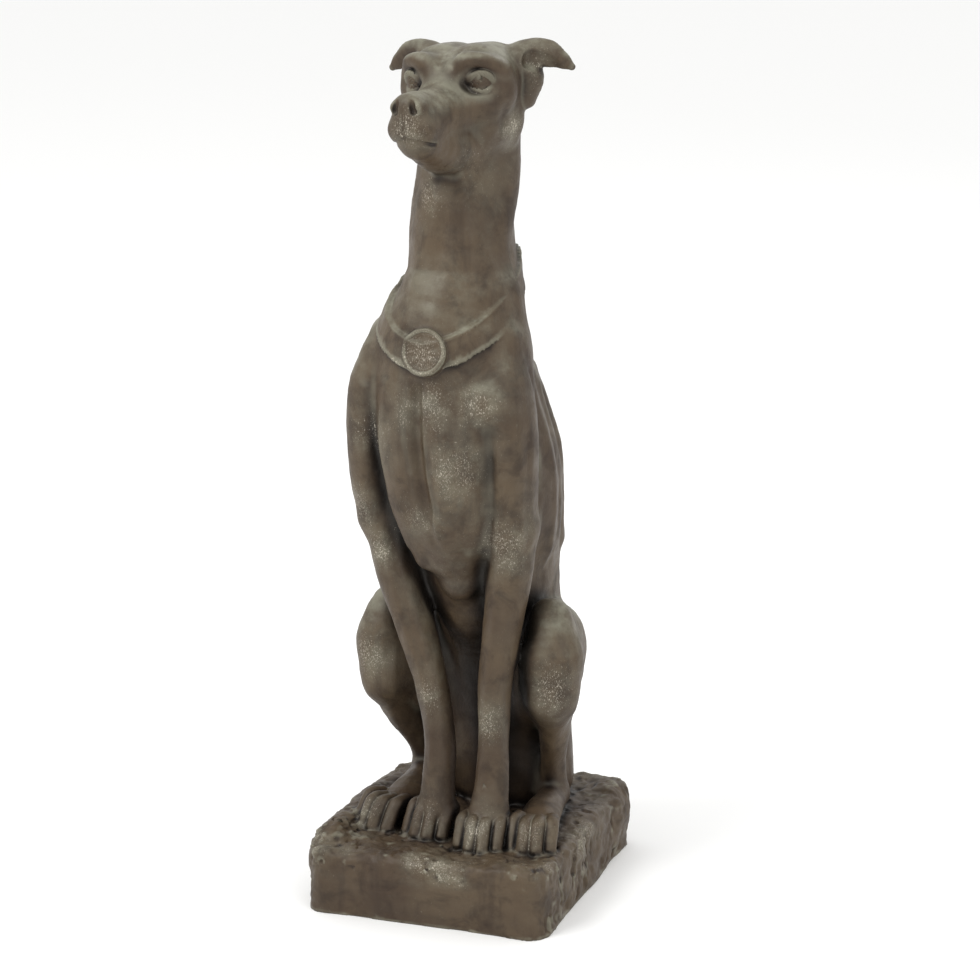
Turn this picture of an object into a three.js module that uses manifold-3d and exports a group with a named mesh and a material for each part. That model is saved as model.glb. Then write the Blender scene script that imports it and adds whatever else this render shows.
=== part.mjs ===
// A seated hunting dog with a collar and medallion, cast in one with the rough slab that it sits on.
// Millimetres, +Z up. The origin is the middle of the slab's underside, and the slab's front faces -Y.
// The dog is modelled as a sculptor builds it up in clay: each bone and muscle is one form, given by the
// distance from a point to its surface, and the forms are joined with soft fillets. The skin is then drawn
// round the clay, thinned to the faces that its curves need, cut flat underneath and given its medallion.

import * as THREE from "three";
import { mergeVertices } from "three/addons/utils/BufferGeometryUtils.js";
import { triTable } from "three/addons/objects/MarchingCubes.js";
import { MeshoptSimplifier } from "three/addons/libs/meshopt_simplifier.module.js";
import Module from "manifold-3d";

// Driving dimensions
const DOG_HEIGHT = 718; // slab top to skull and ear tops
const SLAB_WIDTH = 228;
const SLAB_DEPTH = 268;
const SLAB_THICKNESS = 62;
const SLAB_CORNER_RADIUS = 20; // upright corners
const SLAB_EDGE_RADIUS = 9; // top and bottom edges
const SLAB_ROUGHNESS = 2.6; // how far the hewn sides and top wander
const SLAB_CORNER_CUT = 20; // what is knocked off the corner behind the dog's right
const DOG_TURN = 5.5; // degrees that the dog is turned on its slab, towards its own right
const HEAD_TURN = 3; // degrees that the head is turned further
const HEAD_ROLL = 3.8; // degrees that the head leans towards its own right
const HEAD_SHIFT = 3; // how far the head stands to its own left
const COLLAR_WIDTH = 22;
const COLLAR_THICKNESS = 3.4;
const COLLAR_SLOPE = 32; // degrees that the collar rises from the chest to the nape
const COLLAR_SAG = 0.16; // rise of its front towards each side, as it hangs from the medallion
const MEDALLION_DIAMETER = 41.6;
const MEDALLION_THICKNESS = 5;
const MEDALLION_RIM = 3.4; // width of the raised rim
const MEDALLION_DISH = 1.8; // depth of the field inside the rim
const MEDALLION_LEAN = 16; // degrees that its face is tipped up
const MEDALLION_SIDE = 1; // of its middle towards the dog's left
const MEDALLION_RISE = 1; // of its middle above the collar's
const MEDALLION_ROOT = 9; // how far its back is sunk in
const MEDALLION_SIDES = 28;
const TOE_SPACING = 11.5;
const TOE_HEIGHT = 27; // slab top to the knuckles

// How the skin is drawn
const GRID_STEP = 2.9; // spacing of the points where the clay is measured
const COARSE = 4; // grid steps in one of the blocks that are tested for skin first
const SKIN_TRIANGLES = 9500; // what the skin is thinned to
const HEAD_DETAIL = 1.3; // how much more the head is enlarged for the thinning
const PAW_DETAIL = 0.8;
const COLLAR_DETAIL = 0.9;

// The dog's forms are drawn for this height, and keep their proportions when DOG_HEIGHT changes. Each
// point of a form is [side, back, up, half width, half depth]: side is towards the dog's left, back is
// towards its tail, and up is from the slab's top.
const DRAWN_HEIGHT = 718;
const HEAD_AXIS_HEIGHT = 670; // of the line that the head rolls about
const NECK_TOP = 605;

// Soft union and soft cut of two distances, with a fillet
function join(a, b, fillet) {
  const h = Math.max(fillet - Math.abs(a - b), 0);
  return Math.min(a, b) - (h * h) / (4 * fillet);
}

function cut(a, b, fillet) {
  return -join(-a, b, fillet);
}

// A limb or muscle along a smooth line through its points. Its section is an ellipse: the half width lies
// along `wide`, and the half depth at right angles to that and to the line.
function form(points, { fillet = 12, wide = [1, 0, 0], steps = 4, carve = false } = {}) {
  const places = points.map((p) => new THREE.Vector3(p[0], p[1], p[2]));
  const rings = [];
  const spans = points.length - 1;
  if (spans === 0) {
    rings.push({ at: places[0], a: points[0][3], b: points[0][4] });
  } else {
    const line = new THREE.CatmullRomCurve3(places, false, "centripetal");
    const count = points.length === 2 ? 1 : spans * steps;
    for (let i = 0; i <= count; i++) {
      const t = (i / count) * spans;
      const k = Math.min(Math.floor(t), spans - 1);
      const s = t - k;
      const ease = s * s * (3 - 2 * s);
      const mix = (s + ease) / 2;
      rings.push({
        at: line.getPoint(i / count),
        a: THREE.MathUtils.lerp(points[k][3], points[k + 1][3], mix),
        b: THREE.MathUtils.lerp(points[k][4], points[k + 1][4], mix),
      });
    }
  }
  const segments = [];
  for (let i = 0; i < Math.max(rings.length - 1, 1); i++) {
    const from = rings[i];
    const to = rings[Math.min(i + 1, rings.length - 1)];
    const run = to.at.clone().sub(from.at);
    const length2 = run.lengthSq();
    const along = length2 > 0 ? run.clone().normalize() : new THREE.Vector3(0, 0, 1);
    const side = new THREE.Vector3(...wide);
    side.addScaledVector(along, -side.dot(along)).normalize();
    const deep = new THREE.Vector3().crossVectors(along, side);
    segments.push({ from, to, run, length2, along, side, deep });
  }
  const box = new THREE.Box3();
  for (const ring of rings) {
    const r = Math.max(ring.a, ring.b);
    box.expandByPoint(ring.at.clone().addScalar(r)).expandByPoint(ring.at.clone().addScalar(-r));
  }
  return { segments, box, fillet, carve };
}

function segmentDistance(seg, x, y, z) {
  const { from, to, run, length2, along, side, deep } = seg;
  const px = x - from.at.x;
  const py = y - from.at.y;
  const pz = z - from.at.z;
  let t = length2 > 0 ? (px * run.x + py * run.y + pz * run.z) / length2 : 0;
  t = Math.min(Math.max(t, 0), 1);
  const qx = px - t * run.x;
  const qy = py - t * run.y;
  const qz = pz - t * run.z;
  const a = from.a + (to.a - from.a) * t;
  const b = from.b + (to.b - from.b) * t;
  const c = Math.min(a, b);
  const s = qx * side.x + qy * side.y + qz * side.z;
  const d = qx * deep.x + qy * deep.y + qz * deep.z;
  const e = qx * along.x + qy * along.y + qz * along.z;
  const sa = s / a;
  const db = d / b;
  const ec = e / c;
  const k0 = Math.sqrt(sa * sa + db * db + ec * ec);
  const k1 = Math.sqrt((sa / a) ** 2 + (db / b) ** 2 + (ec / c) ** 2);
  return k1 > 0 ? (k0 * (k0 - 1)) / k1 : -c;
}

function formDistance(f, x, y, z, far) {
  const gap = Math.max(f.box.min.x - x, x - f.box.max.x, f.box.min.y - y, y - f.box.max.y,
    f.box.min.z - z, z - f.box.max.z);
  if (gap > far) return gap;
  let least = Infinity;
  for (const seg of f.segments) least = Math.min(least, segmentDistance(seg, x, y, z));
  return least;
}

// The same form on both sides of a middle line
function pairAbout(middle, points, options) {
  const onSide = (hand) => points.map(([side, ...rest]) => [middle + side * hand, ...rest]);
  return [form(onSide(-1), options), form(onSide(1), options)];
}

function pair(points, options) {
  return pairAbout(0, points, options);
}

// Neck, trunk and chest carry the collar, so they are a group of their own.
function trunk() {
  return [
    form([[-1, -4, 650, 36, 42], [-2, -12, 600, 41, 46], [-2, -17, 564, 43, 51], [-1, -19, 537, 45, 54],
      [1, -22, 509, 48, 57], [0, -28, 482, 54, 62], [-4, -36, 452, 62, 64], [-6, -38, 420, 66, 62]],
    { fillet: 20 }),
    form([[-6, -20, 425, 59, 63], [-6, -1, 375, 65, 74], [0, 14, 310, 72, 79], [4, 34, 240, 58, 76],
      [4, 58, 165, 52, 62], [4, 70, 80, 60, 54], [4, 72, 20, 64, 50]], { fillet: 26 }),
  ];
}

// The breast is a shield with a groove down its middle, and narrows to the keel between the elbows.
function chest() {
  return [
    form([[-5, -56, 418, 44, 36], [0, -58, 370, 46, 40], [6, -50, 300, 34, 38], [9, -38, 245, 18, 26]],
      { fillet: 18 }),
    ...pairAbout(-5, [[18, -72, 404, 21, 19], [20, -77, 372, 23, 22], [19, -70, 320, 21, 22],
      [11, -52, 262, 15, 18]], { fillet: 14 }),
    form([[-8, -102, 420, 3, 4], [-8, -104, 385, 4, 6], [-5, -103, 350, 4, 6], [0, -94, 310, 3, 4]],
      { fillet: 14, carve: true }),
    form([[9, -44, 232, 11, 14]], { fillet: 12 }),
    form([[2, -6, 250, 34, 34], [2, 6, 205, 30, 30]], { fillet: 16 }),
  ];
}

// Long folds of muscle down each flank behind the arm, and the slope of the left shoulder
function flanks() {
  return [
    ...pair([[46, 4, 415, 8, 14], [60, 14, 350, 9, 18], [59, 30, 260, 7, 14]], { fillet: 16 }),
    ...pair([[38, 30, 415, 8, 14], [50, 56, 340, 9, 18], [46, 78, 250, 7, 14]], { fillet: 16 }),
    form([[40, -26, 498, 13, 20], [49, -30, 462, 14, 24]], { fillet: 16 }),
  ];
}

function forequarters() {
  return [
    form([[-60, -36, 447, 18, 29], [-71, -50, 412, 21, 32], [-75, -49, 370, 21, 33],
      [-75, -42, 325, 21, 31], [-72, -36, 290, 20, 28]], { fillet: 20 }),
    form([[50, -34, 444, 16, 29], [60, -48, 410, 19, 30], [63, -47, 370, 19, 30], [61, -42, 325, 18, 28],
      [57, -38, 290, 17, 26]], { fillet: 18 }),
    form([[52, -70, 406, 14, 15]], { fillet: 14 }),
    form([[-67, -36, 285, 20, 27], [-57, -38, 240, 19, 24], [-36, -43, 185, 17, 20],
      [-18, -46, 132, 14.5, 17], [-10, -48, 85, 13.5, 16], [-9, -52, 50, 14.5, 16],
      [-7, -60, 24, 17, 16]], { fillet: 14 }),
    form([[59, -36, 285, 18, 26], [54, -39, 235, 19, 24], [48, -43, 185, 16.5, 20],
      [43.5, -46, 135, 14.5, 18], [43.5, -48, 88, 13.5, 16], [44.5, -54, 52, 15, 16],
      [45, -62, 24, 18, 16]], { fillet: 14 }),
  ];
}

function hindquarters() {
  return [
    ...pair([[38, 70, 110, 36, 56], [58, 40, 140, 34, 56], [76, 6, 160, 27, 46], [86, -6, 160, 22, 38]],
      { fillet: 16 }),
    form([[80, -4, 200, 17, 16], [84, -10, 165, 25, 24], [82, -8, 125, 22, 24]], { fillet: 14 }),
    form([[-79, -4, 194, 14, 16], [-87, -10, 158, 21, 24], [-83, -8, 120, 20, 24]], { fillet: 14 }),
    form([[84, -6, 128, 19, 25], [77, 14, 92, 14, 19], [67, 34, 50, 11, 15], [62, 44, 18, 13, 13]],
      { fillet: 12 }),
    form([[-84, -6, 128, 19, 25], [-80, 12, 93, 17, 21], [-68, 34, 50, 11, 15], [-62, 44, 18, 13, 13]],
      { fillet: 12 }),
  ];
}

// A paw: the instep, then four short toes side by side, each arched from its knuckle down to the slab.
// `out` is the angle in radians that the toes point outwards to the dog's left.
function paw({ heel, toes, out, length }) {
  const across = new THREE.Vector2(Math.cos(out), Math.sin(out));
  const ahead = new THREE.Vector2(Math.sin(out), -Math.cos(out));
  const at = (offset, forward, up, a, b) => [toes[0] + across.x * offset + ahead.x * forward,
    toes[1] + across.y * offset + ahead.y * forward, up, a, b];
  const wide = [across.x, across.y, 0];
  const s = TOE_SPACING;
  const h = TOE_HEIGHT;
  const forms = [form([heel, at(0, -length, h * 0.56, s * 1.6, h * 0.5),
    at(0, -1.1 * s, h * 0.24, s * 1.5, h * 0.34)], { fillet: 9, wide })];
  for (let i = 0; i < 4; i++) {
    const place = i - 1.5;
    const offset = place * s;
    const reach = Math.abs(place) > 1 ? -0.6 * s : 0;
    const r = 0.5 * s;
    forms.push(form([at(offset * 0.9, reach - 2.1 * s, h * 0.8, r, r), at(offset, reach - s, h * 0.82, r, r),
      at(offset, reach - 0.4 * s, h * 0.45, r, r * 1.1), at(offset, reach, h * 0.1, r, r)],
    { fillet: 2, wide }));
  }
  return forms;
}

function paws() {
  const fore = TOE_SPACING * 2.4;
  const hind = TOE_SPACING * 3.6;
  return [
    ...paw({ heel: [-9, -54, 20, 17, 15], toes: [-13, -81], out: -0.06, length: fore }),
    ...paw({ heel: [45, -58, 20, 17, 15], toes: [46, -92], out: 0.14, length: fore }),
    ...paw({ heel: [-63, 38, 16, 15, 17], toes: [-68, -77], out: -0.34, length: hind }),
    ...paw({ heel: [64, 44, 12, 13, 14], toes: [91, -75], out: 0.22, length: hind }),
  ];
}

// The head's forms are drawn level and facing forwards, then rolled and turned to its pose.
const headPose = new THREE.Matrix4()
  .makeTranslation(HEAD_SHIFT, 0, HEAD_AXIS_HEIGHT)
  .multiply(new THREE.Matrix4().makeRotationZ(-THREE.MathUtils.degToRad(HEAD_TURN)))
  .multiply(new THREE.Matrix4().makeRotationY(-THREE.MathUtils.degToRad(HEAD_ROLL)))
  .multiply(new THREE.Matrix4().makeTranslation(0, 0, -HEAD_AXIS_HEIGHT));

function headForm(points, options = {}) {
  const placed = points.map(([side, back, up, a, b]) => {
    const at = new THREE.Vector3(side, back, up).applyMatrix4(headPose);
    return [at.x, at.y, at.z, a, b];
  });
  const wide = new THREE.Vector3(...(options.wide ?? [1, 0, 0])).transformDirection(headPose);
  return form(placed, { ...options, wide: wide.toArray() });
}

function headPair(points, options) {
  return [-1, 1].map((hand) => headForm(points.map(([side, ...rest]) => [side * hand, ...rest]), options));
}

// A folded ear: it rises from the back corner of the skull and its wing turns outwards to a point, while
// its lower edge hangs as a lobe beside the cheek.
function ears() {
  return [
    ...headPair([[44, 4, 698, 12, 15], [51, 8, 680, 11, 14], [46, 7, 661, 8, 10]], { fillet: 5 }),
    ...headPair([[38, 5, 695, 13, 15], [54, 9, 702, 12, 11], [69, 11, 700, 12, 6.5], [81, 12, 694, 7.5, 4.5],
      [89, 13, 688.5, 3.2, 3]], { fillet: 6, wide: [0, 0, 1] }),
    ...headPair([[58, -4, 697, 8, 6], [66, 1, 694, 8, 4.5], [76, 5, 691, 5, 2.5]],
      { fillet: 3, wide: [0, 0, 1], carve: true }),
  ];
}

// Skull, muzzle, nose, lips, jaw, cheeks, brows and eye sockets
function head() {
  return [
    headForm([[0, 6, 671, 37, 33], [0, -20, 681, 41, 30], [0, -37, 683, 36, 26]], { fillet: 12 }),
    ...headPair([[20, 0, 703, 17, 9], [20, -30, 704, 14, 8]], { fillet: 12 }),
    ...headPair([[34, -10, 682, 16, 20], [34, -25, 681, 18, 22]], { fillet: 12 }),
    headForm([[0, -40, 662, 31, 28], [0, -80, 660, 23, 23], [0, -112, 660, 18, 19]], { fillet: 12 }),
    headForm([[0, -108, 672, 14, 11], [0, -118, 671, 15, 12]], { fillet: 5 }),
    headForm([[0, -98, 652, 21, 18], [0, -116, 651, 22.5, 15]], { fillet: 8 }),
    headForm([[0, -20, 631, 31, 28], [0, -60, 629, 25, 24], [0, -108, 637, 16, 13]], { fillet: 10 }),
    ...headPair([[31, -4, 650, 16, 26], [28, -34, 650, 15, 24]], { fillet: 12 }),
    ...headPair([[12, -54, 694, 6, 6], [21, -54, 702, 7.5, 7], [36, -45, 700, 8, 7], [45, -34, 692, 6, 7]],
      { fillet: 10 }),
    ...headPair([[43, -32, 672, 10, 12], [33, -44, 664, 11, 10], [22, -54, 662, 8, 8]], { fillet: 14 }),
    ...headPair([[31, -57, 684, 12, 9]], { fillet: 5, carve: true }),
    ...headPair([[30.5, -46, 683.5, 9.8, 9.8]], { fillet: 1 }),
    ...ears(),
  ];
}

// The tendon on each side of the neck, from behind the jaw to the collar
function neckTendons() {
  return pair([[26, 10, 632, 12, 18], [33, -12, 575, 10, 16], [20, -54, 505, 10, 12]], { fillet: 10 });
}

// The collar follows the neck where a sloping slab passes through it.
const collarSlope = THREE.MathUtils.degToRad(COLLAR_SLOPE);
const COLLAR_FRONT = [0, -96, 454]; // middle of the band on the chest

function collarHeight(x, y, z) {
  const [side, back, up] = COLLAR_FRONT;
  const level = (y - back) * -Math.sin(collarSlope) + (z - up) * Math.cos(collarSlope);
  return level - COLLAR_SAG * Math.abs(x - side);
}

function collarDistance(skin, x, y, z) {
  return Math.max(skin - COLLAR_THICKNESS, Math.abs(collarHeight(x, y, z)) - COLLAR_WIDTH / 2);
}

const trunkForms = [...trunk(), ...chest()];
const otherForms = [...flanks(), ...forequarters(), ...hindquarters(), ...paws(),
  ...neckTendons(), ...head()];
const FAR = 40; // beyond this distance a form's box stands for the form

function dogDistance(x, y, z) {
  let skin = Infinity;
  for (const f of trunkForms) {
    const d = formDistance(f, x, y, z, FAR);
    if (d > FAR) skin = Math.min(skin, d);
    else skin = f.carve ? cut(skin, d, f.fillet) : join(skin, d, f.fillet);
  }
  const collar = collarDistance(skin, x, y, z);
  for (const f of otherForms) {
    const d = formDistance(f, x, y, z, FAR);
    if (d > FAR) continue;
    skin = f.carve ? cut(skin, d, f.fillet) : join(skin, d, f.fillet);
  }
  return join(skin, collar, 1);
}

// Hewn stone: two sets of waves that cross each other, each with its wave lengths and phases
const BROAD_WAVES = { x: 140, y: 126, z: 157, phase: 0.4, sway: 1.7 };
const MIDDLE_WAVES = { x: 70, y: 84, z: 126, phase: 2.0, sway: 0.7 };

function waves({ x: lengthX, y: lengthY, z: lengthZ, phase, sway }, x, y, z) {
  const alongX = (2 * Math.PI * x) / lengthX;
  const alongY = (2 * Math.PI * y) / lengthY;
  const alongZ = (2 * Math.PI * z) / lengthZ;
  return Math.sin(alongX + sway * Math.sin(alongZ) + phase) * Math.sin(alongY + sway * Math.sin(alongX / 2));
}

function hewn(x, y, z) {
  return 0.6 * waves(BROAD_WAVES, x, y, z) + 0.4 * waves(MIDDLE_WAVES, x, y, z);
}

const SLAB_SINK = 18; // what the flat cut underneath takes off
const PAW_FILLET = 5; // between the dog and the slab

// Lumps that stand out of the slab's sides, in its own frame
const toSide = SLAB_WIDTH / 2;
const toEnd = SLAB_DEPTH / 2;
const lumps = [
  form([[11 - toSide, 34 - toEnd, 38, 17, 26], [10 - toSide, 68 - toEnd, 36, 16, 24]], { fillet: 12 }),
  form([[toSide - 14, toEnd - 22, 40, 17, 24], [toSide - 11, toEnd - 50, 30, 14, 22]], { fillet: 12 }),
  form([[15 - toSide, 40 - toEnd, 51, 15, 19], [15 - toSide, 84 - toEnd, 53, 15, 19],
    [16 - toSide, toEnd - 124, 53, 15, 19], [22 - toSide, toEnd - 74, 50, 16, 19]], { fillet: 12 }),
];

function slabDistance(x, y, z) {
  const r = SLAB_CORNER_RADIUS;
  const qx = Math.abs(x) - SLAB_WIDTH / 2 + r;
  const qy = Math.abs(y) - SLAB_DEPTH / 2 + r;
  const plan = Math.min(Math.max(qx, qy), 0) + Math.hypot(Math.max(qx, 0), Math.max(qy, 0)) - r;
  const middle = (SLAB_THICKNESS - SLAB_SINK) / 2;
  const level = Math.abs(z - middle) - (SLAB_THICKNESS + SLAB_SINK) / 2;
  const e = SLAB_EDGE_RADIUS;
  const block = Math.min(Math.max(plan, level) + e, 0) +
    Math.hypot(Math.max(plan + e, 0), Math.max(level + e, 0)) - e;
  let stone = block + SLAB_ROUGHNESS * hewn(x, y, z);
  for (const lump of lumps) stone = join(stone, formDistance(lump, x, y, z, FAR), lump.fillet);
  const fromCorner = (y - x - toSide - toEnd) * Math.SQRT1_2 + SLAB_CORNER_CUT;
  return cut(stone, -fromCorner, SLAB_CORNER_RADIUS);
}

// The whole clay, from a point in the part's own frame
const scale = DOG_HEIGHT / DRAWN_HEIGHT;
const dogTurn = THREE.MathUtils.degToRad(DOG_TURN);
const cosTurn = Math.cos(dogTurn);
const sinTurn = Math.sin(dogTurn);

function toDog(x, y, z) {
  const side = x * cosTurn - y * sinTurn;
  const back = x * sinTurn + y * cosTurn;
  return [side / scale, back / scale, (z - SLAB_THICKNESS) / scale];
}

function clayDistance(x, y, z) {
  const dog = dogDistance(...toDog(x, y, z)) * scale;
  return join(dog, slabDistance(x, y, z), PAW_FILLET);
}

// The twelve edges of a cube: the lower corner, the upper one, and the axis that they lie along. Corners
// 0 to 3 go round the bottom, and 4 to 7 round the top.
const CUBE_EDGES = [[0, 1, 0], [1, 2, 1], [3, 2, 0], [0, 3, 1], [4, 5, 0], [5, 6, 1], [7, 6, 0], [4, 7, 1],
  [0, 4, 2], [1, 5, 2], [2, 6, 2], [3, 7, 2]];

// The skin round the clay, by marching cubes. Only blocks that the surface can reach are measured.
function drawSkin(distance, box) {
  const size = box.getSize(new THREE.Vector3());
  const blocks = [size.x, size.y, size.z].map((s) => Math.ceil(s / (GRID_STEP * COARSE)));
  const [nx, ny, nz] = blocks.map((n) => n * COARSE + 1);
  const low = box.min;
  const at = (i, j, k) => distance(low.x + i * GRID_STEP, low.y + j * GRID_STEP, low.z + k * GRID_STEP);
  const field = new Float32Array(nx * ny * nz).fill(NaN);
  const index = (i, j, k) => i + nx * (j + ny * k);
  const reach = GRID_STEP * COARSE * 1.3;
  const live = [];
  for (let k = 0; k < blocks[2]; k++) {
    for (let j = 0; j < blocks[1]; j++) {
      for (let i = 0; i < blocks[0]; i++) {
        const half = COARSE / 2;
        const d = at(i * COARSE + half, j * COARSE + half, k * COARSE + half);
        if (Math.abs(d) < reach) live.push([i * COARSE, j * COARSE, k * COARSE]);
      }
    }
  }
  for (const [i0, j0, k0] of live) {
    for (let k = k0; k <= k0 + COARSE; k++) {
      for (let j = j0; j <= j0 + COARSE; j++) {
        for (let i = i0; i <= i0 + COARSE; i++) {
          const n = index(i, j, k);
          if (Number.isNaN(field[n])) field[n] = at(i, j, k);
        }
      }
    }
  }

  const positions = [];
  const triangles = [];
  const made = new Map();
  const steps = [1, nx, nx * ny];
  const corners = [0, steps[2]].flatMap((floor) => [floor, floor + 1, floor + 1 + nx, floor + nx]);
  const crossing = (cell, edge) => {
    const [from, to, axis] = CUBE_EDGES[edge];
    const a = cell + corners[from];
    const b = cell + corners[to];
    const key = a * 3 + axis;
    if (made.has(key)) return made.get(key);
    const t = THREE.MathUtils.clamp(field[a] / (field[a] - field[b]), 0.03, 0.97);
    const node = [a % nx, Math.floor(a / nx) % ny, Math.floor(a / steps[2])];
    node[axis] += t;
    positions.push(low.x + GRID_STEP * node[0], low.y + GRID_STEP * node[1], low.z + GRID_STEP * node[2]);
    made.set(key, positions.length / 3 - 1);
    return positions.length / 3 - 1;
  };
  for (const [i0, j0, k0] of live) {
    for (let k = k0; k < k0 + COARSE; k++) {
      for (let j = j0; j < j0 + COARSE; j++) {
        for (let i = i0; i < i0 + COARSE; i++) {
          const cell = index(i, j, k);
          let pattern = 0;
          for (let c = 0; c < 8; c++) if (field[cell + corners[c]] > 0) pattern |= 1 << c;
          for (let n = pattern * 16; triTable[n] !== -1; n += 3) {
            for (let c = 0; c < 3; c++) triangles.push(crossing(cell, triTable[n + c]));
          }
        }
      }
    }
  }
  return { positions: new Float32Array(positions), triangles: new Uint32Array(triangles) };
}

// Fewer triangles, spent where the surface bends. The thinning sees the head, collar and paws enlarged, so
// that they keep more of them.
function enlarged(positions) {
  const seen = positions.slice();
  const headFrom = SLAB_THICKNESS + NECK_TOP * scale;
  const pawsAt = SLAB_THICKNESS + 0.5 * TOE_HEIGHT;
  const edge = COLLAR_WIDTH / 2 + COLLAR_THICKNESS;
  for (let i = 0; i < seen.length; i += 3) {
    const z = seen[i + 2];
    const fromBand = Math.abs(collarHeight(...toDog(seen[i], seen[i + 1], z)));
    const band = 1 - THREE.MathUtils.smoothstep(fromBand, edge, 2 * edge);
    const head = THREE.MathUtils.smoothstep(z, headFrom, headFrom + 30);
    const paws = 1 - THREE.MathUtils.smoothstep(Math.abs(z - pawsAt), 0.5 * TOE_HEIGHT, 1.5 * TOE_HEIGHT);
    const factor = 1 + HEAD_DETAIL * head + PAW_DETAIL * paws + COLLAR_DETAIL * band;
    seen[i] *= factor;
    seen[i + 1] *= factor;
    seen[i + 2] += Math.max(z - headFrom, 0) * HEAD_DETAIL;
  }
  return seen;
}

async function thinned(skin, count) {
  await MeshoptSimplifier.ready;
  const seen = enlarged(skin.positions);
  const [kept] = MeshoptSimplifier.simplify(skin.triangles, seen, 3, count * 3, 1, ["Regularize"]);
  const renumbered = new Map();
  const vertices = [];
  const triangles = [];
  for (const v of kept) {
    if (!renumbered.has(v)) {
      renumbered.set(v, vertices.length / 3);
      vertices.push(skin.positions[3 * v], skin.positions[3 * v + 1], skin.positions[3 * v + 2]);
    }
    triangles.push(renumbered.get(v));
  }
  return { positions: new Float32Array(vertices), triangles: new Uint32Array(triangles) };
}

const wasm = await Module();
wasm.setup();

function solidOf(vertProperties, triVerts) {
  return new wasm.Manifold(new wasm.Mesh({ numProp: 3, vertProperties, triVerts }));
}

function solidFrom(geometry) {
  const plain = geometry.clone();
  plain.deleteAttribute("normal");
  plain.deleteAttribute("uv");
  const merged = mergeVertices(plain, 1e-4);
  return solidOf(new Float32Array(merged.attributes.position.array), new Uint32Array(merged.index.array));
}

function geometryFrom(solid) {
  const { numProp, vertProperties, triVerts } = solid.getMesh();
  const points = new Float32Array((vertProperties.length / numProp) * 3);
  for (let i = 0; i < points.length / 3; i++) {
    for (let axis = 0; axis < 3; axis++) points[3 * i + axis] = vertProperties[numProp * i + axis];
  }
  const geometry = new THREE.BufferGeometry();
  geometry.setAttribute("position", new THREE.BufferAttribute(points, 3));
  geometry.setIndex(new THREE.BufferAttribute(new Uint32Array(triVerts), 1));
  geometry.computeVertexNormals();
  return geometry;
}

// The space that the skin is drawn in holds the slab and every form of the dog
function claySpace() {
  const dog = new THREE.Box3();
  for (const f of [...trunkForms, ...otherForms]) dog.union(f.box);
  dog.applyMatrix4(new THREE.Matrix4().makeScale(scale, scale, scale));
  dog.applyMatrix4(new THREE.Matrix4().makeRotationZ(-dogTurn));
  dog.translate(new THREE.Vector3(0, 0, SLAB_THICKNESS));
  const slab = new THREE.Box3(new THREE.Vector3(-SLAB_WIDTH / 2, -SLAB_DEPTH / 2, -SLAB_SINK),
    new THREE.Vector3(SLAB_WIDTH / 2, SLAB_DEPTH / 2, SLAB_THICKNESS));
  dog.min.z = slab.min.z;
  return dog.union(slab).expandByScalar(SLAB_ROUGHNESS + 2 * GRID_STEP);
}

const fullSkin = drawSkin(clayDistance, claySpace());
const skin = await thinned(fullSkin, SKIN_TRIANGLES);
let statue = solidOf(skin.positions, skin.triangles);

// Cut flat underneath
const under = new THREE.BoxGeometry(3 * SLAB_WIDTH, 3 * SLAB_DEPTH, SLAB_THICKNESS);
under.translate(0, 0, -SLAB_THICKNESS / 2);
statue = statue.subtract(solidFrom(under));

// The medallion hangs on the collar's front. Its back is sunk into the neck, and its field is dished
// inside a raised rim round a plain boss.
function medallion() {
  const r = MEDALLION_DIAMETER / 2;
  const inner = r - MEDALLION_RIM;
  const face = MEDALLION_THICKNESS;
  const field = face - MEDALLION_DISH;
  const ease = MEDALLION_RIM * 0.22;
  const boss = r * 0.3;
  const profile = [[0, -MEDALLION_ROOT], [r - 1, -MEDALLION_ROOT], [r, face - ease], [r - ease, face],
    [inner + ease, face], [inner, field], [boss * 1.5, field], [boss, face - ease], [0, face]];
  const disc = new THREE.LatheGeometry(profile.map(([x, y]) => new THREE.Vector2(x, y)), MEDALLION_SIDES);
  const lean = THREE.MathUtils.degToRad(MEDALLION_LEAN);
  disc.rotateX(Math.PI - lean);
  const [side, back, up] = COLLAR_FRONT.map((v) => v * scale);
  disc.translate(side + MEDALLION_SIDE, back - COLLAR_THICKNESS, up + MEDALLION_RISE);
  disc.rotateZ(-dogTurn);
  disc.translate(0, 0, SLAB_THICKNESS);
  return solidFrom(disc);
}

statue = statue.add(medallion());

const dogMaterial = new THREE.MeshStandardMaterial({ color: 0x6e6152, roughness: 0.72, metalness: 0.0 });
const statueMesh = new THREE.Mesh(geometryFrom(statue), dogMaterial);
statueMesh.name = "hunting_dog_statue";

const part = new THREE.Group();
part.add(statueMesh);

export default part;
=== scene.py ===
import math

import bmesh
import bpy
import numpy as np
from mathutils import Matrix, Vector


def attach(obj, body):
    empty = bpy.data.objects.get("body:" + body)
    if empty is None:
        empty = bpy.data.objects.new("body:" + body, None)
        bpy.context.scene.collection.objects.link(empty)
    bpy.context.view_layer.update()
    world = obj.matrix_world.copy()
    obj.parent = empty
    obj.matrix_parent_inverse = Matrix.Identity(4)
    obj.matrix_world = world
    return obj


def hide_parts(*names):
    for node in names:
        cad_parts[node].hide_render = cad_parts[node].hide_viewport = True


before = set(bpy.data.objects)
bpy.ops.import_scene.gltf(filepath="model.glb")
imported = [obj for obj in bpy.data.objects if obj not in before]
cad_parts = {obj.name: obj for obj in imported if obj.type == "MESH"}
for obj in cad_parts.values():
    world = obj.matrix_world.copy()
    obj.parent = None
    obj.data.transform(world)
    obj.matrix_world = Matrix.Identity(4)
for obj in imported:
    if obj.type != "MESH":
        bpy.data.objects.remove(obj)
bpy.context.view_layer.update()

STATUE = "hunting_dog_statue"

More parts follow.
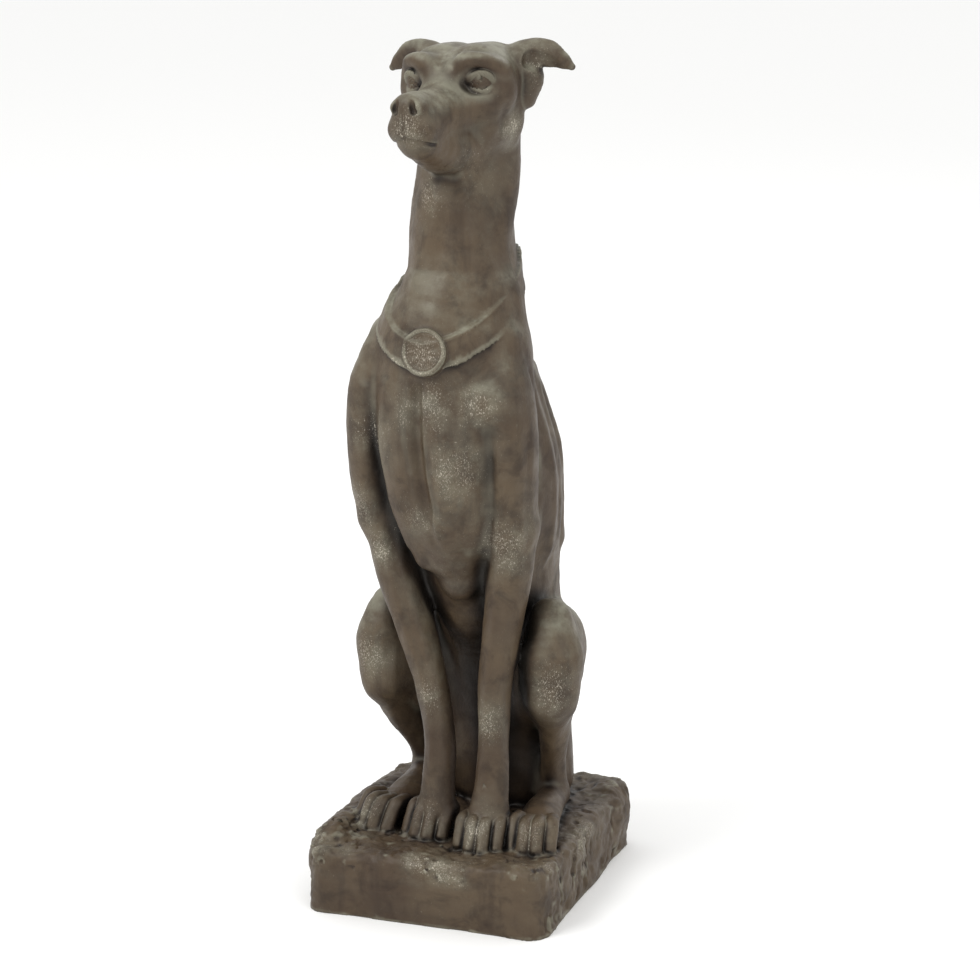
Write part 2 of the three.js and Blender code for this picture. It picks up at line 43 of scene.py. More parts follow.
# The dog's place on its slab, in millimetres and degrees, as the part has it
SLAB_WIDTH = 228
SLAB_DEPTH = 268
SLAB_THICKNESS = 62
SLAB_CORNER_RADIUS = 20
SLAB_EDGE_RADIUS = 9
SLAB_ROUGHNESS = 2.6
SLAB_CORNER_CUT = 20
SLAB_SINK = 18
DOG_TURN = 5.5
HEAD_TURN = 3
HEAD_ROLL = 3.8
HEAD_SHIFT = 3
HEAD_AXIS_HEIGHT = 670
COLLAR_WIDTH = 22
COLLAR_THICKNESS = 3.4
COLLAR_SLOPE = 27.5
COLLAR_SAG = 0.11
COLLAR_FRONT = (0, -96, 454)
MEDALLION_RADIUS = 20.8
MEDALLION_THICKNESS = 5
MEDALLION_RIM = 3.4
MEDALLION_DISH = 1.8
MEDALLION_LEAN = 16
MEDALLION_SIDE = 1
MEDALLION_RISE = 1
MEDALLION_ROOT = 9
TOE_SPACING = 11.5
TOE_HEIGHT = 27

# How finely the skin is drawn
SKIN_STEP = 1.8
SKIN_TRIANGLES = 190000
MILLIMETRE = 0.001


# Clay: forms given by the distance from a point to their surface

def join(a, b, fillet):
    """Soft union of two distances."""
    h = np.maximum(fillet - np.abs(a - b), 0)
    return np.minimum(a, b) - h * h / (4 * fillet)


def cut(a, b, fillet):
    return -join(-a, b, fillet)


def smooth_line(points, steps):
    """Rings along a smooth line through points of [side, back, up, half width, half depth]."""
    points = np.array(points, float)
    if len(points) <= 2:
        return points
    places = points[:, :3]
    padded = np.vstack([2 * places[0] - places[1], places, 2 * places[-1] - places[-2]])
    rings = []
    for k in range(len(points) - 1):
        p0, p1, p2, p3 = padded[k : k + 4]
        d0, d1, d2 = (max(np.linalg.norm(b - a), 1e-6) ** 0.5 for a, b in ((p0, p1), (p1, p2), (p2, p3)))
        t1 = ((p1 - p0) / d0 - (p2 - p0) / (d0 + d1) + (p2 - p1) / d1) * d1
        t2 = ((p2 - p1) / d1 - (p3 - p1) / (d1 + d2) + (p3 - p2) / d2) * d1
        for i in range(steps):
            s = i / steps
            at = p1 + t1 * s + (-3 * p1 + 3 * p2 - 2 * t1 - t2) * s * s + (2 * p1 - 2 * p2 + t1 + t2) * s**3
            mix = (s + s * s * (3 - 2 * s)) / 2
            widths = points[k, 3:] + (points[k + 1, 3:] - points[k, 3:]) * mix
            rings.append([*at, *widths])
    rings.append(points[-1])
    return np.array(rings)


def form(points, fillet=12, wide=(1, 0, 0), steps=5, carve=False):
    return {
        "rings": smooth_line(points, steps),
        "fillet": fillet,
        "wide": np.array(wide, float),
        "carve": carve,
    }


def pair_about(middle, points, **options):
    return [form([[middle + p[0] * hand, *p[1:]] for p in points], **options) for hand in (-1, 1)]


def pair(points, **options):
    return pair_about(0, points, **options)


def segment_distance(a, b, wide, P):
    run = b[:3] - a[:3]
    length2 = run @ run
    from_a = P - a[:3]
    t = np.clip(from_a @ run / length2, 0, 1) if length2 > 0 else np.zeros(len(P))
    q = from_a - t[:, None] * run
    along = run / math.sqrt(length2) if length2 > 0 else np.array([0, 0, 1.0])
    side = wide - along * (wide @ along)
    side /= np.linalg.norm(side)
    deep = np.cross(along, side)
    ra = a[3] + (b[3] - a[3]) * t
    rb = a[4] + (b[4] - a[4]) * t
    rc = np.minimum(ra, rb)
    s, d, e = (q @ side) / ra, (q @ deep) / rb, (q @ along) / rc
    k0 = np.sqrt(s * s + d * d + e * e)
    k1 = np.sqrt((s / ra) ** 2 + (d / rb) ** 2 + (e / rc) ** 2)
    return np.where(k1 > 1e-9, k0 * (k0 - 1) / np.maximum(k1, 1e-9), -rc)


def add_form(skin, f, P, reach=9):
    rings = f["rings"]
    margin = f["fillet"] + reach
    size = rings[:, 3:].max(axis=1)[:, None]
    low, high = (rings[:, :3] - size).min(0) - margin, (rings[:, :3] + size).max(0) + margin
    near = np.flatnonzero(((P > low) & (P < high)).all(1))
    if not len(near):
        return skin
    Q = P[near]
    least = np.full(len(near), np.inf)
    pairs = zip(rings[:-1], rings[1:]) if len(rings) > 1 else [(rings[0], rings[0])]
    for a, b in pairs:
        r = max(a[3], a[4], b[3], b[4]) + margin
        low, high = np.minimum(a[:3], b[:3]) - r, np.maximum(a[:3], b[:3]) + r
        here = np.flatnonzero(((Q > low) & (Q < high)).all(1))
        if len(here):
            least[here] = np.minimum(least[here], segment_distance(a, b, f["wide"], Q[here]))
    blend = cut if f["carve"] else join
    skin[near] = blend(skin[near], least, f["fillet"])
    return skin


# The dog's forms, as [side, back, up, half width, half depth] in the dog's own frame

def trunk():
    return [
        form([[-1, -4, 650, 36, 42], [-2, -12, 600, 41, 46], [-2, -17, 564, 43, 51], [-1, -19, 537, 45, 54],
              [1, -22, 509, 48, 57], [0, -28, 482, 54, 62], [-4, -36, 452, 62, 64], [-6, -38, 420, 66, 62]],
             fillet=20),
        form([[-6, -20, 425, 59, 63], [-6, -1, 375, 65, 74], [0, 14, 310, 72, 79], [4, 34, 240, 58, 76],
              [4, 58, 165, 52, 62], [4, 70, 80, 60, 54], [4, 72, 20, 64, 50]], fillet=26),
    ]


def chest():
    return [
        form([[-5, -56, 418, 44, 36], [0, -58, 370, 46, 40], [6, -50, 300, 34, 38], [9, -38, 245, 18, 26]],
             fillet=18),
        *pair_about(-5, [[18, -72, 404, 21, 19], [20, -77, 372, 23, 22], [19, -70, 320, 21, 22],
                         [11, -52, 262, 15, 18]], fillet=14),
        form([[-8, -102, 420, 3, 4], [-8, -104, 385, 4, 6], [-5, -103, 350, 4, 6], [0, -94, 310, 3, 4]],
             fillet=14, carve=True),
        form([[9, -44, 232, 11, 14]], fillet=12),
        form([[2, -6, 250, 34, 34], [2, 6, 205, 30, 30]], fillet=16),
    ]


def flanks():
    return [
        *pair([[46, 4, 415, 8, 14], [60, 14, 350, 9, 18], [59, 30, 260, 7, 14]], fillet=16),
        *pair([[38, 30, 415, 8, 14], [50, 56, 340, 9, 18], [46, 78, 250, 7, 14]], fillet=16),
        form([[40, -26, 498, 13, 20], [49, -30, 462, 14, 24]], fillet=16),
    ]


def forequarters():
    return [
        form([[-60, -36, 447, 18, 29], [-71, -50, 412, 21, 32], [-75, -49, 370, 21, 33],
              [-75, -42, 325, 21, 31], [-72, -36, 290, 20, 28]], fillet=20),
        form([[50, -34, 444, 16, 29], [60, -48, 410, 19, 30], [63, -47, 370, 19, 30], [61, -42, 325, 18, 28],
              [57, -38, 290, 17, 26]], fillet=18),
        form([[52, -70, 406, 14, 15]], fillet=14),
        form([[-67, -36, 285, 20, 27], [-57, -38, 240, 19, 24], [-36, -43, 185, 17, 20],
              [-18, -46, 132, 14.5, 17], [-10, -48, 85, 13.5, 16], [-9, -52, 50, 14.5, 16],
              [-7, -60, 24, 17, 16]], fillet=14),
        form([[59, -36, 285, 18, 26], [54, -39, 235, 19, 24], [48, -43, 185, 16.5, 20],
              [43.5, -46, 135, 14.5, 18], [43.5, -48, 88, 13.5, 16], [44.5, -54, 52, 15, 16],
              [45, -62, 24, 18, 16]], fillet=14),
    ]


def hindquarters():
    return [
        *pair([[38, 70, 110, 36, 56], [58, 40, 140, 34, 56], [76, 6, 160, 27, 46], [86, -6, 160, 22, 38]],
              fillet=16),
        form([[80, -4, 200, 17, 16], [84, -10, 165, 25, 24], [82, -8, 125, 22, 24]], fillet=14),
        form([[-79, -4, 194, 14, 16], [-87, -10, 158, 21, 24], [-83, -8, 120, 20, 24]], fillet=14),
        form([[84, -6, 128, 19, 25], [77, 14, 92, 14, 19], [67, 34, 50, 11, 15], [62, 44, 18, 13, 13]],
             fillet=12),
        form([[-84, -6, 128, 19, 25], [-80, 12, 93, 17, 21], [-68, 34, 50, 11, 15], [-62, 44, 18, 13, 13]],
             fillet=12),
    ]


def paw(heel, toes, out, length):
    """An instep and four short toes side by side, each with its knuckle and its nail."""
    across = (math.cos(out), math.sin(out))
    ahead = (math.sin(out), -math.cos(out))

    def at(offset, forward, up, a, b):
        return [toes[0] + across[0] * offset + ahead[0] * forward,
                toes[1] + across[1] * offset + ahead[1] * forward, up, a, b]

    wide = (*across, 0)
    s, h, r = TOE_SPACING, TOE_HEIGHT, TOE_SPACING * 0.54
    forms = [form([heel, at(0, -length, h * 0.56, s * 1.6, h * 0.5), at(0, -1.1 * s, h * 0.24, s * 1.5, h * 0.34)],
                  fillet=9, wide=wide)]
    for i in range(4):
        place = i - 1.5
        offset = place * s
        reach = -0.6 * s if abs(place) > 1 else 0
        forms.append(form([at(offset * 0.9, reach - 2.1 * s, h * 0.8, r, r), at(offset, reach - s, h * 0.82, r, r),
                           at(offset, reach - 0.4 * s, h * 0.45, r, r * 1.1), at(offset, reach, h * 0.1, r, r)],
                          fillet=2.6, wide=wide))
        forms.append(form([at(offset, reach - 0.1 * r, h * 0.34, r * 0.5, r * 0.6),
                           at(offset, reach + 0.7 * r, h * 0.12, r * 0.36, r * 0.5)], fillet=2, wide=wide))
    return forms


def paws():
    fore = TOE_SPACING * 2.4
    hind = TOE_SPACING * 3.6
    return [
        *paw([-9, -54, 20, 17, 15], (-13, -81), -0.06, fore),
        *paw([45, -58, 20, 17, 15], (46, -92), 0.14, fore),
        *paw([-63, 38, 16, 15, 17], (-68, -77), -0.34, hind),
        *paw([64, 44, 12, 13, 14], (91, -75), 0.22, hind),
    ]


def turned(degrees, first, second):
    """A turn from one axis towards another."""
    out = np.eye(3)
    a = math.radians(degrees)
    out[first, first] = out[second, second] = math.cos(a)
    out[second, first], out[first, second] = math.sin(a), -math.sin(a)
    return out


HEAD_AXES = turned(-HEAD_TURN, 0, 1) @ turned(HEAD_ROLL, 0, 2)


def on_head(place):
    """A point of the level, forward-facing head, in the dog's frame."""
    axis = (0, 0, HEAD_AXIS_HEIGHT)
    return HEAD_AXES @ (np.array(place[:3], float) - axis) + axis + (HEAD_SHIFT, 0, 0)


def head_form(points, wide=(1, 0, 0), **options):
    placed = [[*on_head(p), *p[3:]] for p in points]
    return form(placed, wide=HEAD_AXES @ np.array(wide, float), **options)


def head_pair(points, **options):
    return [head_form([[p[0] * hand, *p[1:]] for p in points], **options) for hand in (-1, 1)]


def ears():
    return [
        *head_pair([[44, 4, 698, 12, 15], [51, 8, 680, 11, 14], [46, 7, 661, 8, 10]], fillet=5),
        *head_pair([[38, 5, 695, 13, 15], [54, 9, 702, 12, 11], [69, 11, 700, 12, 6.5], [81, 12, 694, 7.5, 4.5],
                    [89, 13, 688.5, 3.2, 3]], fillet=6, wide=(0, 0, 1)),
        *head_pair([[58, -4, 697, 8, 6], [66, 1, 694, 8, 4.5], [76, 5, 691, 5, 2.5]], fillet=3,
                   wide=(0, 0, 1), carve=True),
    ]


def head():
    return [
        head_form([[0, 6, 671, 37, 33], [0, -20, 681, 41, 30], [0, -37, 683, 36, 26]], fillet=12),
        *head_pair([[20, 0, 703, 17, 9], [20, -30, 704, 14, 8]], fillet=12),
        *head_pair([[34, -10, 682, 16, 20], [34, -25, 681, 18, 22]], fillet=12),
        head_form([[0, -40, 662, 31, 28], [0, -80, 660, 23, 23], [0, -112, 660, 18, 19]], fillet=12),
        head_form([[0, -108, 672, 14, 11], [0, -118, 671, 15, 12]], fillet=5),
        head_form([[0, -98, 652, 21, 18], [0, -116, 651, 22.5, 15]], fillet=8),
        head_form([[0, -20, 631, 31, 28], [0, -60, 629, 25, 24], [0, -108, 637, 16, 13]], fillet=10),
        *head_pair([[31, -4, 650, 16, 26], [28, -34, 650, 15, 24]], fillet=12),
        *head_pair([[12, -54, 694, 6, 6], [21, -54, 702, 7.5, 7], [36, -45, 700, 8, 7], [45, -34, 692, 6, 7]],
                   fillet=10),
        *head_pair([[43, -32, 672, 10, 12], [33, -44, 664, 11, 10], [22, -54, 662, 8, 8]], fillet=14),
        *head_pair([[31, -57, 684, 12, 9]], fillet=5, carve=True),
        *ears(),
    ]


def neck_tendons():
    return pair([[27, 10, 632, 13, 18], [35, -12, 575, 11, 16], [20, -54, 505, 10, 12]], fillet=10)


# Finer carving, which the faceted part leaves out

EYE = np.array([29.5, -44, 683.5])
EYE_RADIUS = 12
EYE_OUT = np.array([0.45, -0.88, 0.06])
EYE_OUT /= np.linalg.norm(EYE_OUT)
EYE_ACROSS = np.cross([0, 0, 1.0], EYE_OUT)
EYE_ACROSS /= np.linalg.norm(EYE_ACROSS)
EYE_UP = np.cross(EYE_OUT, EYE_ACROSS)


def on_eye(across, up, lift, radius):
    """A point of the left eye's ball, `across` towards the ear and `up` to the brow, as a form's point."""
    deep = math.sqrt(max((EYE_RADIUS + lift) ** 2 - across**2 - up**2, 0.5))
    return [*(EYE + EYE_ACROSS * across + EYE_UP * up + EYE_OUT * deep), radius, radius]


def eyes():
    upper = [on_eye(a, u, 0.5, r) for a, u, r in
             ((-11.8, -2.2, 1.5), (-9, 3.4, 2.2), (-3, 7.0, 2.7), (4, 6.8, 2.9), (9, 3.0, 2.7), (11.6, -3, 1.8))]
    lower = [on_eye(a, u, 0.3, r) for a, u, r in
             ((-11.8, -3.2, 1.3), (-7.5, -6.6, 1.9), (0, -8.2, 2.3), (6.5, -7.2, 2.2), (11.4, -3.8, 1.5))]
    return [
        *head_pair([[*EYE, EYE_RADIUS, EYE_RADIUS]], fillet=1.0),
        *head_pair(upper, fillet=1.6),
        *head_pair(lower, fillet=2.0),
        *head_pair([[19, -48, 698, 5, 7], [20, -49, 688, 5, 7]], fillet=9),
    ]


def ear_hollows():
    return head_pair([[56, -4, 696, 6, 5], [64, 0, 693, 6.5, 4], [73, 4, 690, 4, 2.5]], fillet=2.5, wide=(0, 0, 1),
                     carve=True)


def nose_and_mouth():
    return [
        *head_pair([[10.5, -122, 671, 5, 7.5]], fillet=4),
        *head_pair([[7.4, -130, 677.5, 2.6, 4], [8.9, -129, 668, 3.0, 4]], fillet=1.2, carve=True),
        head_form([[0, -131.5, 680, 0.9, 1.4], [0, -132.5, 664, 1.2, 2.2], [0, -133, 648, 1.4, 2.2]],
                  fillet=2.4, carve=True),
        *head_pair([[0, -131, 645, 1.3, 2], [9, -129, 642, 1.3, 2.2], [15, -121, 639.5, 1.2, 1.8],
                    [17.5, -108, 637, 0.8, 1.2]], fillet=2, carve=True),
    ]


# Creases (less than 0) and ridges drawn on one face of the dog with a rounded tool. A line's points are
# [side, up] on the front, or [back, up] on a flank, and each line has its width and its height.
FRONT, LEFT, RIGHT = range(3)
LINES = [
    (FRONT, [[16, 604], [22, 570], [34, 530], [44, 500]], 7, 1.6),
    (FRONT, [[26, 610], [33, 570], [44, 532], [52, 500]], 6, -1.4),
    (FRONT, [[-6, 612], [-10, 570], [-16, 520], [-20, 480]], 8, 1.2),
    (FRONT, [[4, 606], [4, 560], [0, 500]], 7, -1.2),
    (FRONT, [[-30, 590], [-36, 540], [-46, 490]], 7, -1.2),
    (FRONT, [[-6, 418], [-7, 380], [-4, 330], [2, 280]], 5, -1.8),
    (FRONT, [[-1, 420], [-1, 380], [2, 330], [7, 285]], 3.5, 1.8),
    (FRONT, [[-14, 424], [-16, 390], [-13, 345]], 4, 1.4),
    (FRONT, [[18, 424], [24, 395], [26, 355], [22, 310]], 5, -1.3),
    (FRONT, [[-42, 420], [-48, 385], [-48, 345], [-43, 305], [-34, 270]], 8, 2.4),
    (FRONT, [[44, 420], [42, 390], [42, 340], [38, 300], [34, 270]], 8, 2.4),
    (FRONT, [[34, 415], [33, 380], [33, 330], [27, 285]], 6, 1.4),
    (FRONT, [[-66, 412], [-70, 370], [-70, 320], [-64, 270]], 6, 1.4),
    (FRONT, [[-58, 420], [-59, 380], [-60, 330], [-58, 290]], 5, -0.6),
    (FRONT, [[8, 712], [9, 700]], 2.4, -0.9),
    (FRONT, [[-4, 712], [-5, 698]], 2.4, -0.8),
    (FRONT, [[54, 300], [52, 240], [46, 180], [43, 120], [44, 60]], 3.5, 1.0),
    (FRONT, [[61, 300], [59, 240], [52, 180], [49, 120], [50, 60]], 3, -0.8),
    (FRONT, [[-60, 280], [-50, 230], [-33, 180], [-16, 130], [-10, 60]], 3.5, 1.0),
    (FRONT, [[-53, 280], [-43, 228], [-27, 178], [-11, 128], [-4, 60]], 3, -0.8),
    (LEFT, [[-34, 430], [-20, 370], [-12, 310], [-16, 270]], 5, -2.0),
    (LEFT, [[-4, 420], [10, 360], [18, 300], [20, 240]], 5, 1.3),
    (LEFT, [[8, 415], [24, 360], [34, 300], [36, 250]], 5, -1.6),
    (LEFT, [[22, 410], [38, 355], [50, 300], [54, 250]], 6, 1.2),
    (LEFT, [[36, 400], [54, 345], [66, 290], [70, 240]], 5, -1.4),
    (LEFT, [[-58, 380], [-52, 330], [-46, 280]], 5, -1.1),
    (LEFT, [[-52, 560], [-62, 510], [-72, 480]], 6, -1.2),
    (LEFT, [[-66, 662], [-60, 650], [-62, 636]], 4, -1.0),
    (LEFT, [[-40, 664], [-36, 645], [-42, 628]], 5, -1.2),
    (LEFT, [[-20, 180], [14, 190], [44, 170], [60, 130]], 9, -1.2),
    (RIGHT, [[-34, 430], [-20, 370], [-12, 310], [-16, 270]], 5, -2.0),
    (RIGHT, [[8, 415], [24, 360], [34, 300], [36, 250]], 5, -1.6),
    (RIGHT, [[36, 400], [54, 345], [66, 290], [70, 240]], 5, -1.4),
    (RIGHT, [[-20, 180], [14, 190], [44, 170], [60, 130]], 9, -1.2),
]


def drawn_lines(D):
    """How far the lines stand out of the skin, in millimetres."""
    height = np.zeros(len(D))
    facing = {FRONT: ramp(-D[:, 1], 20, 44), LEFT: ramp(D[:, 0], 30, 46), RIGHT: ramp(-D[:, 0], 30, 46)}
    for face, points, width, rise in LINES:
        across = D[:, 0] if face == FRONT else D[:, 1]
        rings = smooth_line([[a, 0, up, 1, 1] for a, up in points], 4)[:, [0, 2]]
        low, high = rings.min(0) - 3 * width, rings.max(0) + 3 * width
        near = np.flatnonzero((facing[face] > 0) & (across > low[0]) & (across < high[0])
                              & (D[:, 2] > low[1]) & (D[:, 2] < high[1]))
        if not len(near):
            continue
        Q = np.stack([across[near], D[near, 2]], 1)
        least = np.full(len(near), np.inf)
        for a, b in zip(rings[:-1], rings[1:]):
            run = b - a
            t = np.clip((Q - a) @ run / (run @ run), 0, 1)
            least = np.minimum(least, np.linalg.norm(Q - a - t[:, None] * run, axis=1))
        height[near] += facing[face][near] * rise * np.exp(-((least / width) ** 2))
    return height


# The slab's hewn sides

BROAD_WAVES = (140, 126, 157, 0.4, 1.7)
MIDDLE_WAVES = (70, 84, 126, 2.0, 0.7)


def waves(lengths, x, y, z):
    length_x, length_y, length_z, phase, sway = lengths
    along_x, along_y, along_z = (2 * math.pi * v / length for v, length in
                                 ((x, length_x), (y, length_y), (z, length_z)))
    return np.sin(along_x + sway * np.sin(along_z) + phase) * np.sin(along_y + sway * np.sin(along_x / 2))


TO_SIDE = SLAB_WIDTH / 2
TO_END = SLAB_DEPTH / 2
LUMPS = [
    form([[11 - TO_SIDE, 34 - TO_END, 38, 17, 26], [10 - TO_SIDE, 68 - TO_END, 36, 16, 24]], fillet=12),
    form([[TO_SIDE - 14, TO_END - 22, 40, 17, 24], [TO_SIDE - 11, TO_END - 50, 30, 14, 22]], fillet=12),
    form([[15 - TO_SIDE, 40 - TO_END, 51, 15, 19], [15 - TO_SIDE, 84 - TO_END, 53, 15, 19],
          [16 - TO_SIDE, TO_END - 124, 53, 15, 19], [22 - TO_SIDE, TO_END - 74, 50, 16, 19]], fillet=12),
]


def slab_distance(P):
    x, y, z = P.T
    r = SLAB_CORNER_RADIUS
    qx = np.abs(x) - SLAB_WIDTH / 2 + r
    qy = np.abs(y) - SLAB_DEPTH / 2 + r
    plan = np.minimum(np.maximum(qx, qy), 0) + np.hypot(np.maximum(qx, 0), np.maximum(qy, 0)) - r
    level = np.abs(z - (SLAB_THICKNESS - SLAB_SINK) / 2) - (SLAB_THICKNESS + SLAB_SINK) / 2
    e = SLAB_EDGE_RADIUS
    block = (np.minimum(np.maximum(plan, level) + e, 0)
             + np.hypot(np.maximum(plan + e, 0), np.maximum(level + e, 0)) - e)
    stone = block + SLAB_ROUGHNESS * (0.6 * waves(BROAD_WAVES, x, y, z) + 0.4 * waves(MIDDLE_WAVES, x, y, z))
    for lump in LUMPS:
        stone = add_form(stone, lump, P, 20)
    from_corner = (y - x - TO_SIDE - TO_END) * math.sqrt(0.5) + SLAB_CORNER_CUT
    return cut(stone, -from_corner, SLAB_CORNER_RADIUS)


def noise(P, size, seed=0):
    """Smooth noise from -1 to 1 whose lumps are about `size` millimetres, along each axis or along all."""
    Q = P / np.array(size, float) + seed * 17.3
    low = np.floor(Q).astype(np.int64)
    f = Q - low
    f = f * f * (3 - 2 * f)
    total = np.zeros(len(P))
    for dx in (0, 1):
        for dy in (0, 1):
            for dz in (0, 1):
                h = (low[:, 0] + dx) * 374761393 + (low[:, 1] + dy) * 668265263 + (low[:, 2] + dz) * 974634777
                h = ((h ^ (h >> 13)) * 1274126177) & 0xFFFFFFFF
                value = ((h ^ (h >> 16)) & 0xFFFF) / 32767.5 - 1
                weight = (np.where(dx, f[:, 0], 1 - f[:, 0]) * np.where(dy, f[:, 1], 1 - f[:, 1])
                          * np.where(dz, f[:, 2], 1 - f[:, 2]))
                total += weight * value
    return total


def ramp(v, low, high):
    t = np.clip((v - low) / (high - low), 0, 1)
    return t * t * (3 - 2 * t)


def hewn(P):
    """How far the tool marks stand out of the slab, in millimetres."""
    x, y, z = P.T
    right = ramp(x, TO_SIDE - 16, TO_SIDE - 5)
    front = ramp(-y, TO_END - 12, TO_END - 4) * (1 - right)
    top = ramp(z, SLAB_THICKNESS - 9, SLAB_THICKNESS - 3)
    band = ramp(z, SLAB_THICKNESS - 26, SLAB_THICKNESS - 12)
    lumps = noise(P, (19, 19, 16), 1) + 0.5 * noise(P, (8, 8, 7), 2)
    clefts = -ramp(noise(P, (11, 8, 34), 3) + 0.4 * noise(P, (5, 4, 14), 4), 0.15, 0.8)
    strokes = noise(P, (46, 40, 3.2), 5)
    pits = -ramp(noise(P, (7, 7, 5), 12) + 0.4 * noise(P, 3.4, 13), 0.25, 0.7)
    grit = noise(P, (4.2, 4.2, 3.6), 6)
    rough_side = 1.9 * lumps + 2.8 * clefts + 0.7 * grit
    smooth_front = 0.7 * strokes + 0.6 * lumps + band * (0.9 * grit + 0.5 * noise(P, 9, 7) + 1.6 * pits)
    rough_top = 1.7 * lumps + 0.9 * grit + 1.2 * pits
    side = rough_side * (1 - front) + smooth_front * front
    return (side * (1 - top) + rough_top * top) * ramp(z, 1, 8)


def modelled(D):
    """Marks of the modelling tool on the dog, drawn down its length, in millimetres."""
    body = 1 - ramp(D[:, 2], 600, 640)
    down = noise(D, (9, 11, 46), 8) * 0.5 + noise(D, (4.5, 5, 22), 9) * 0.22
    dabs = noise(D, (16, 16, 18), 10) * 0.45 + noise(D, 6, 11) * 0.16
    balls = [np.linalg.norm(D - on_head([EYE[0] * hand, *EYE[1:]]), axis=1) for hand in (-1, 1)]
    clear = ramp(np.minimum(*balls), EYE_RADIUS + 1, EYE_RADIUS + 7)
    return body * down + (0.45 + 0.55 * body) * dabs * clear


# The whole clay

TURN = math.radians(DOG_TURN)
FROM_DOG = np.array([[math.cos(TURN), math.sin(TURN), 0], [-math.sin(TURN), math.cos(TURN), 0], [0, 0, 1]])


def to_dog(P):
    return P @ FROM_DOG - (0, 0, SLAB_THICKNESS)


def medallion_distance(D):
    """The disc on the collar: a raised rim round a field with a worn rosette of eight petals."""
    lean = math.radians(MEDALLION_LEAN)
    out = np.array([0, -math.cos(lean), math.sin(lean)])
    up = np.array([0, math.sin(lean), math.cos(lean)])
    q = D - (MEDALLION_SIDE, COLLAR_FRONT[1] - COLLAR_THICKNESS, COLLAR_FRONT[2] + MEDALLION_RISE)
    h, a, b = q @ out, q[:, 0], q @ up
    r = np.hypot(a, b)
    angle = np.arctan2(b, a)
    rim = np.clip((r - (MEDALLION_RADIUS - MEDALLION_RIM)) / 1.2 + 0.5, 0, 1)
    petals = 0.9 * np.exp(-(((r - 9) / 4) ** 2)) * (0.5 + 0.5 * np.cos(8 * angle))
    boss = 1.2 * np.exp(-((r / 3.2) ** 2))
    ring = 0.5 * np.exp(-(((r - 15.6) / 0.9) ** 2))
    face = MEDALLION_THICKNESS - MEDALLION_DISH * (1 - rim) + (petals + boss + ring) * (1 - rim)
    disc = -join(MEDALLION_RADIUS - r, face - h, 1.6)
    return np.maximum(disc, -h - MEDALLION_ROOT)


def clay_distance(P, fine, reach=9):
    D = to_dog(P)
    skin = np.full(len(P), 60.0)
    for f in TRUNK:
        skin = add_form(skin, f, D, reach)
    slope = math.radians(COLLAR_SLOPE)
    height = (D[:, 1] - COLLAR_FRONT[1]) * -math.sin(slope) + (D[:, 2] - COLLAR_FRONT[2]) * math.cos(slope)
    height -= COLLAR_SAG * np.abs(D[:, 0] - COLLAR_FRONT[0])
    edge = np.abs(height) / (COLLAR_WIDTH / 2)
    raised = COLLAR_THICKNESS + (0.6 * ramp(edge, 0.7, 0.9) if fine else 0)
    collar = np.maximum(skin - raised, np.abs(height) - COLLAR_WIDTH / 2)
    for f in BODY + (FINE if fine else []):
        skin = add_form(skin, f, D, reach)
    skin = join(skin, collar, 1.0)
    skin = join(skin, medallion_distance(D), 1.0)
    stone = slab_distance(P)
    if fine:
        skin = skin - modelled(D) - drawn_lines(D)
        stone = stone - hewn(P)
    return np.maximum(join(skin, stone, 5.0), -P[:, 2])


TRUNK = [*trunk(), *chest()]
BODY = [*flanks(), *forequarters(), *hindquarters(), *paws(), *neck_tendons(), *head()]
FINE = [*eyes(), *ear_hollows(), *nose_and_mouth()]


# Skin

def made_mesh(piece):
    """The piece's mesh with its modifiers applied."""
    graph = bpy.context.evaluated_depsgraph_get()
    mesh = bpy.data.meshes.new_from_object(piece.evaluated_get(graph))
    piece.modifiers.clear()
    old = piece.data
    piece.data = mesh
    bpy.data.meshes.remove(old)
    return piece


def clay_copy(node):
    mesh = node.data.copy()
    bm = bmesh.new()
    bm.from_mesh(mesh)
    bmesh.ops.remove_doubles(bm, verts=bm.verts, dist=1e-6)
    bm.to_mesh(mesh)
    bm.free()
    piece = bpy.data.objects.new("hunting_dog", mesh)
    bpy.context.scene.collection.objects.link(piece)
    skin = piece.modifiers.new("Skin", "REMESH")
    skin.mode = "VOXEL"
    skin.voxel_size = SKIN_STEP * MILLIMETRE
    return made_mesh(piece)


def places(mesh):
    co = np.empty(len(mesh.vertices) * 3)
    mesh.vertices.foreach_get("co", co)
    return co.reshape(-1, 3) / MILLIMETRE


def put_places(mesh, P):
    mesh.vertices.foreach_set("co", (P * MILLIMETRE).ravel())
    mesh.update()


def normals(mesh):
    out = np.empty(len(mesh.vertices) * 3)
    mesh.vertex_normals.foreach_get("vector", out)
    return out.reshape(-1, 3)


def edges(mesh):
    out = np.empty(len(mesh.edges) * 2, int)
    mesh.edges.foreach_get("vertices", out)
    return out.reshape(-1, 2)


def neighbour_mean(P, E):
    count = np.bincount(E.ravel(), minlength=len(P))[:, None]
    total = np.stack([
        np.bincount(E[:, 0], P[E[:, 1], k], len(P)) + np.bincount(E[:, 1], P[E[:, 0], k], len(P))
        for k in range(P.shape[1])
    ], 1)
    return total / np.maximum(count, 1)


def draw_to_clay(mesh, rounds, fine, relax=0.5):
    E = edges(mesh)
    P = places(mesh)
    for k in range(rounds):
        put_places(mesh, P)
        N = normals(mesh)
        shift = neighbour_mean(P, E) - P
        shift -= N * (shift * N).sum(1)[:, None]
        d = clay_distance(P, fine)
        P = P + relax * shift - np.clip(d, -2.5, 2.5)[:, None] * N
    P[:, 2] = np.where(P[:, 2] < 0.5, 0, P[:, 2])
    put_places(mesh, P)


def store(mesh, name, values):
    layer = mesh.attributes.new(name, "FLOAT", "POINT")
    layer.data.foreach_set("value", np.clip(values, 0, 1))


